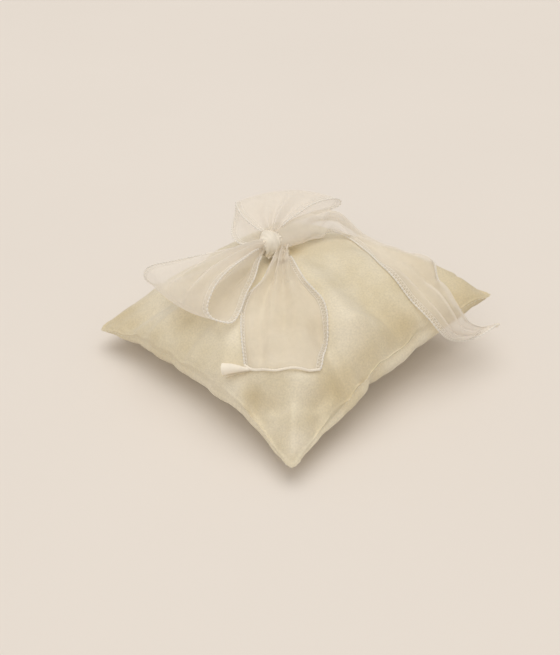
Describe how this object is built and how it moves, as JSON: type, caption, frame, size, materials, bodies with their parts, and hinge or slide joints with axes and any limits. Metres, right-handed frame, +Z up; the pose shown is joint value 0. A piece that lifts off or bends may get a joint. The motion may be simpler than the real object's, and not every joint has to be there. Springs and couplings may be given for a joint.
{
  "type": "ring bearer pillow",
  "caption": "Small square stuffed cushion that carries wedding rings, with a sheer ribbon bow sewn to its crown for tying them on.",
  "frame": {"origin": "middle of the flat patch underneath that the cushion rests on", "axes": "+Z up; the cushion's sides lie along X and Y, its front corner is at +X -Y and its highest, right corner at +X +Y"},
  "size_m": [0.1925, 0.177, 0.0881],
  "materials": {
    "cover": "silky ivory weave",
    "filling": "loose white fibre",
    "thread": "matte",
    "organza": "sheer, slightly stiff",
    "selvage": "corded edge"
  },
  "bodies": {
    "pillow": {"top_panel": "cover", "bottom_panel": "cover", "fibre_filling": "filling", "seam_thread": "thread", "ribbon_base": "organza", "tack_stitches": "thread", "knot_core": "organza", "knot_band": "organza", "right_tail_roll": "organza"},
    "left_loop": {"left_loop": "organza", "left_loop_edges": "selvage"},
    "back_loop": {"back_loop": "organza", "back_loop_edges": "selvage"},
    "front_tail": {"front_tail": "organza", "front_tail_edges": "selvage", "front_tail_hem": "selvage"},
    "right_tail": {"right_tail": "organza", "right_tail_edges": "selvage", "right_tail_hem": "selvage"}
  },
  "joints": [
    {"name": "left_loop_lift", "type": "hinge", "parent": "pillow", "child": "left_loop", "pos_m": [-0.011, -0.0145, 0.0745], "axis": [-1, 0, 0], "range_deg": [0, 30]},
    {"name": "back_loop_lift", "type": "hinge", "parent": "pillow", "child": "back_loop", "pos_m": [-0.016, 0.005, 0.079], "axis": [0.7314, 0.682, 0], "range_deg": [0, 25]},
    {"name": "front_tail_lift", "type": "hinge", "parent": "pillow", "child": "front_tail", "pos_m": [0.00314, -0.00558, 0.0673], "axis": [-0.7314, -0.682, 0], "range_deg": [0, 50]},
    {"name": "right_tail_lift", "type": "hinge", "parent": "pillow", "child": "right_tail", "pos_m": [-0.002, 0.038, 0.0661], "axis": [0, -1, 0], "range_deg": [0, 50]}
  ]
}
